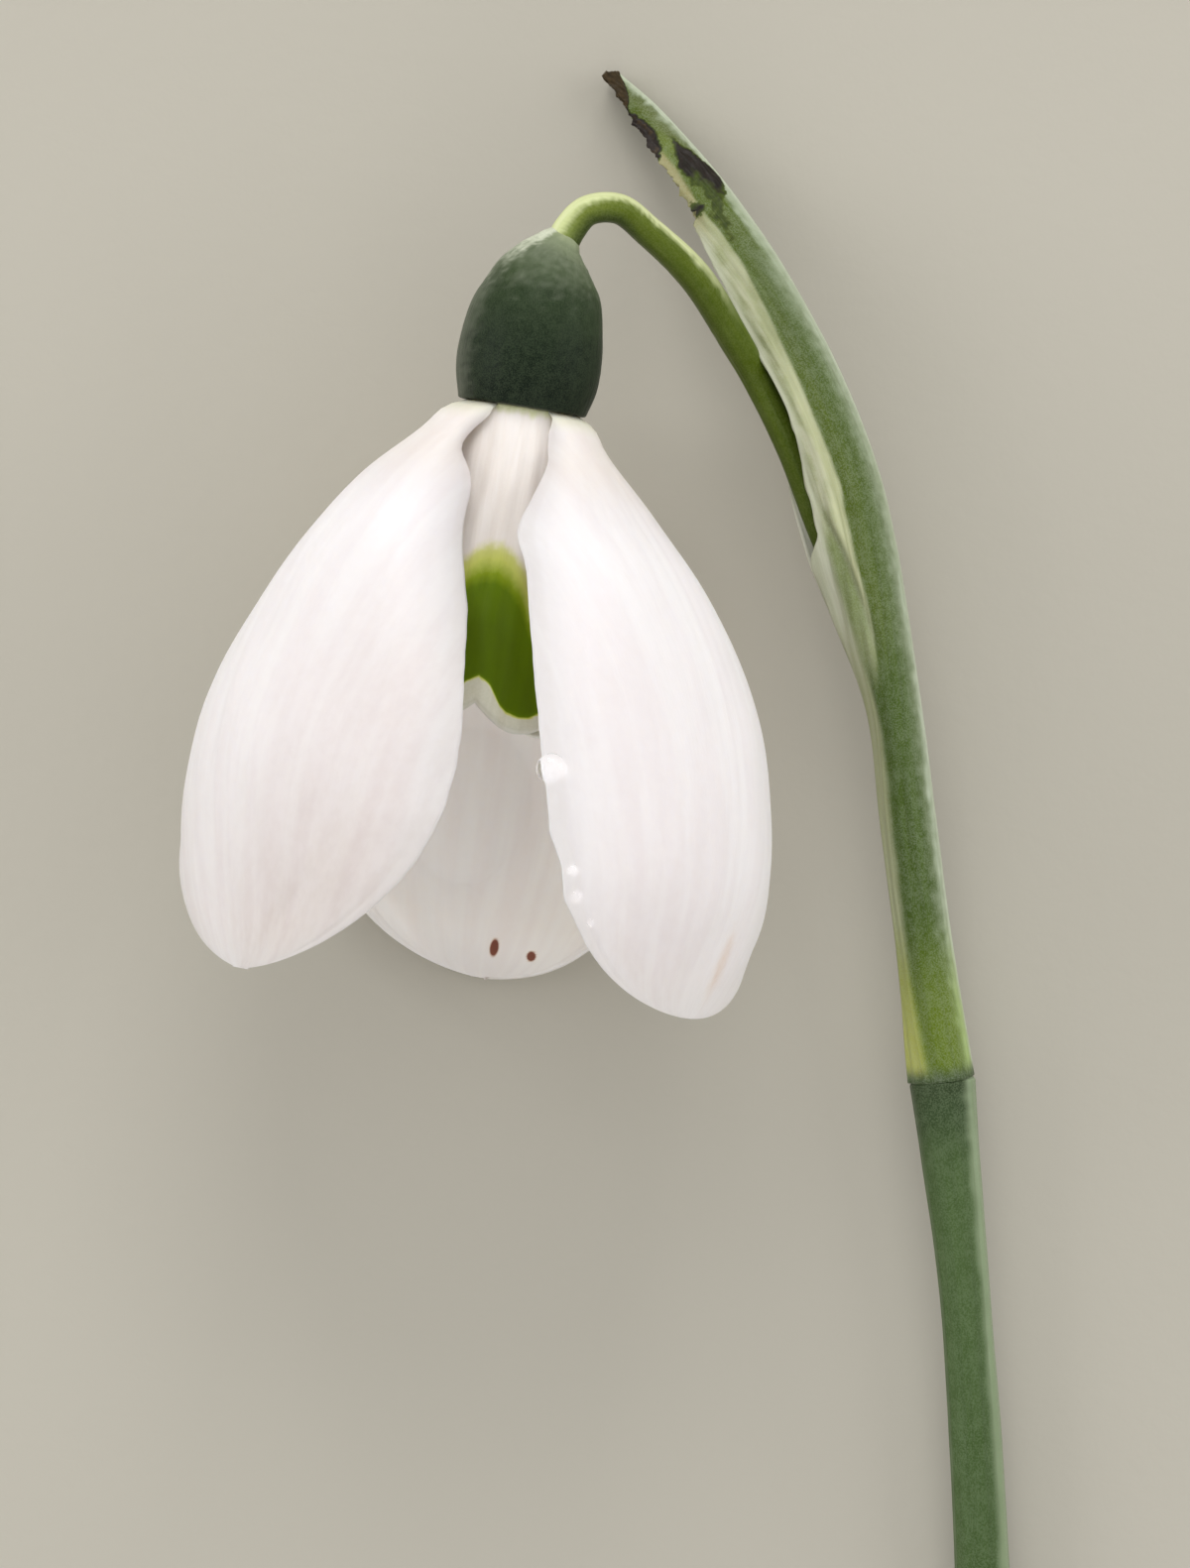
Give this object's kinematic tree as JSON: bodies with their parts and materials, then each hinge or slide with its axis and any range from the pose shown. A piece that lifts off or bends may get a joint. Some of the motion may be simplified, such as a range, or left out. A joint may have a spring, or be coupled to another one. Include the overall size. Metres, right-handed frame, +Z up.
{
  "type": "snowdrop flower",
  "caption": "White nodding snowdrop bloom on an arched pedicel with a folded green spathe, picked with a length of its stem and laid flat.",
  "frame": {"origin": "on the surface that the flower lies on, under the middle of its outline", "axes": "+Y along the stem towards the spathe's tip, +Z up from the surface, +X towards the stem's side"},
  "size_m": [0.0348, 0.0802, 0.0232],
  "materials": {
    "outer_petal": "satin",
    "inner_petal": "satin",
    "anther": "matte",
    "style": "satin",
    "ovary": "satin",
    "pedicel": "satin",
    "spathe": "satin",
    "scape": "satin"
  },
  "bodies": {
    "root": {"outer_tepal_left": "outer_petal", "outer_tepal_right": "outer_petal", "outer_tepal_rear": "outer_petal", "inner_tepal_front": "inner_petal", "inner_tepal_rear_right": "inner_petal", "inner_tepal_rear_left": "inner_petal", "stamen_1": "anther", "stamen_2": "anther", "stamen_3": "anther", "stamen_4": "anther", "stamen_5": "anther", "stamen_6": "anther", "style": "style", "ovary": "ovary", "pedicel": "pedicel", "spathe": "spathe", "scape": "scape"}
  },
  "joints": []
}
